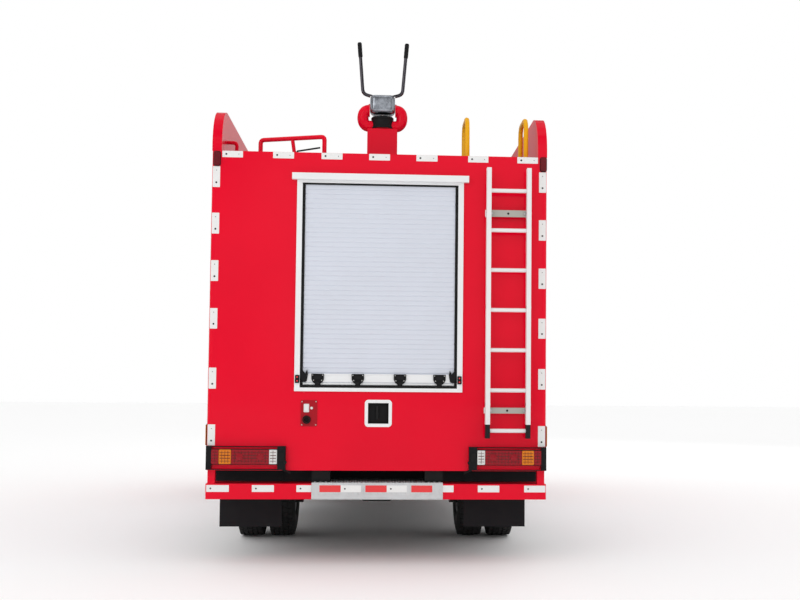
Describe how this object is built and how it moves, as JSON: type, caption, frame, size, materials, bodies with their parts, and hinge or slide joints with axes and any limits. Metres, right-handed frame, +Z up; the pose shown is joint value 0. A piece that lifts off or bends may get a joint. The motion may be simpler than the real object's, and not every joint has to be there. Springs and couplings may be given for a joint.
{
  "type": "foam fire truck",
  "caption": "Two-axle foam fire truck with tilting crew cab, shuttered equipment body, rear ladder and a swivelling roof monitor.",
  "frame": {"origin": "on the ground, midway along and across the whole vehicle", "axes": "+X to the truck's right, +Y to its front, +Z up"},
  "size_m": [2.9, 7.712, 4.0671],
  "materials": {
    "red_paint": "gloss",
    "white_paint": "gloss",
    "white_frame": "satin",
    "shutter_metal": "satin",
    "roof_tread": "satin",
    "step_metal": "satin",
    "guard_metal": "satin",
    "tank_metal": "satin",
    "chassis_paint": "satin",
    "spring_steel": "matt",
    "axle_iron": "matt",
    "engine_iron": "matt",
    "panel_red": "satin",
    "yellow_paint": "gloss",
    "monitor_red": "gloss",
    "monitor_grey": "satin",
    "handle_chrome": "polished",
    "rim_paint": "satin",
    "tyre": "matt",
    "flap_rubber": "matt",
    "glass": "clear",
    "lamp_red": "gloss",
    "lamp_clear": "gloss",
    "lamp_blue": "gloss",
    "seat_fabric": "woven",
    "dash_plastic": "matt",
    "mirror_housing": "matt",
    "grille_plastic": "matt"
  },
  "bodies": {
    "chassis": {"frame_rails": "chassis_paint", "leaf_springs": "spring_steel", "front_axle": "axle_iron", "rear_axle": "axle_iron", "engine": "engine_iron", "prop_shaft": "axle_iron", "fuel_tank": "tank_metal", "body_floor": "chassis_paint", "side_walls": "red_paint", "rear_wall": "red_paint", "front_wall": "red_paint", "roof_deck": "roof_tread", "roof_fairings": "red_paint", "rear_shutter_frame": "white_frame", "rear_shutter": "shutter_metal", "side_shutter_frames": "white_frame", "side_shutters": "shutter_metal", "side_guards": "guard_metal", "rear_bumper": "red_paint", "rear_step": "step_metal", "tail_lamps": "lamp_red", "mud_flaps": "flap_rubber", "rear_ladder": "white_frame", "rear_hatch": "white_frame", "charging_panel": "panel_red", "roof_rail": "red_paint", "roof_hoops": "yellow_paint", "monitor_pedestal": "red_paint", "front_bumper": "white_paint", "headlamps": "lamp_clear", "cab_steps": "chassis_paint"},
    "cab": {"cab_shell": "red_paint", "windscreen": "glass", "cab_seats": "seat_fabric", "dashboard": "dash_plastic", "cab_mirrors": "mirror_housing", "grille": "grille_plastic", "light_bar": "lamp_blue"},
    "steering": {"steering_wheel": "dash_plastic"},
    "door_front_left": {"door_front_left": "red_paint", "door_glass_front_left": "glass"},
    "door_rear_left": {"door_rear_left": "red_paint", "door_glass_rear_left": "glass"},
    "door_front_right": {"door_front_right": "red_paint", "door_glass_front_right": "glass"},
    "door_rear_right": {"door_rear_right": "red_paint", "door_glass_rear_right": "glass"},
    "knuckle_left": {"knuckle_left": "axle_iron"},
    "knuckle_right": {"knuckle_right": "axle_iron"},
    "front_left_wheel": {"front_left_tyre": "tyre", "front_left_rim": "rim_paint"},
    "rear_left_wheels": {"rear_left_tyres": "tyre", "rear_left_rims": "rim_paint"},
    "front_right_wheel": {"front_right_tyre": "tyre", "front_right_rim": "rim_paint"},
    "rear_right_wheels": {"rear_right_tyres": "tyre", "rear_right_rims": "rim_paint"},
    "monitor_base": {"monitor_turret": "monitor_red"},
    "monitor_head": {"monitor_barrel": "monitor_grey", "monitor_handles": "handle_chrome"}
  },
  "joints": [
    {"name": "cab_tilt", "type": "hinge", "parent": "chassis", "child": "cab", "pos_m": [0, 3.696, 0.86], "axis": [-1, 0, 0], "range_deg": [0, 40]},
    {"name": "front_left_door", "type": "hinge", "parent": "cab", "child": "door_front_left", "pos_m": [-1.212, 3.551, 1.5], "axis": [0, 0, -1], "range_deg": [0, 70]},
    {"name": "rear_left_door", "type": "hinge", "parent": "cab", "child": "door_rear_left", "pos_m": [-1.212, 2.491, 1.5], "axis": [0, 0, -1], "range_deg": [0, 70]},
    {"name": "front_right_door", "type": "hinge", "parent": "cab", "child": "door_front_right", "pos_m": [1.212, 3.551, 1.5], "axis": [0, 0, 1], "range_deg": [0, 70]},
    {"name": "rear_right_door", "type": "hinge", "parent": "cab", "child": "door_rear_right", "pos_m": [1.212, 2.491, 1.5], "axis": [0, 0, 1], "range_deg": [0, 70]},
    {"name": "steer_left", "type": "hinge", "parent": "chassis", "child": "knuckle_left", "pos_m": [-0.77, 2.506, 0.485], "axis": [0, 0, 1], "range_deg": [-35, 35]},
    {"name": "steer_right", "type": "hinge", "parent": "chassis", "child": "knuckle_right", "pos_m": [0.77, 2.506, 0.485], "axis": [0, 0, 1], "range_deg": [-35, 35]},
    {"name": "steering_wheel_turn", "type": "hinge", "parent": "cab", "child": "steering", "pos_m": [-0.7, 3.156, 1.94], "axis": [0, -0.5736, 0.8192], "range_deg": [-525, 525]},
    {"name": "front_left_spin", "type": "hinge", "parent": "knuckle_left", "child": "front_left_wheel", "pos_m": [-1, 2.506, 0.485], "axis": [-1, 0, 0], "continuous": true},
    {"name": "rear_left_spin", "type": "hinge", "parent": "chassis", "child": "rear_left_wheels", "pos_m": [-0.94, -1.994, 0.485], "axis": [-1, 0, 0], "continuous": true},
    {"name": "front_right_spin", "type": "hinge", "parent": "knuckle_right", "child": "front_right_wheel", "pos_m": [1, 2.506, 0.485], "axis": [-1, 0, 0], "continuous": true},
    {"name": "rear_right_spin", "type": "hinge", "parent": "chassis", "child": "rear_right_wheels", "pos_m": [0.94, -1.994, 0.485], "axis": [-1, 0, 0], "continuous": true},
    {"name": "monitor_yaw", "type": "hinge", "parent": "chassis", "child": "monitor_base", "pos_m": [0.007, -3.124, 3.4], "axis": [0, 0, 1], "continuous": true},
    {"name": "monitor_pitch", "type": "hinge", "parent": "monitor_base", "child": "monitor_head", "pos_m": [0.007, -3.124, 3.556], "axis": [1, 0, 0], "range_deg": [-15, 75]}
  ],
  "couplings": [
    {"joint": "steer_right", "follows": "steer_left", "ratio": 1},
    {"joint": "steering_wheel_turn", "follows": "steer_left", "ratio": 15}
  ]
}
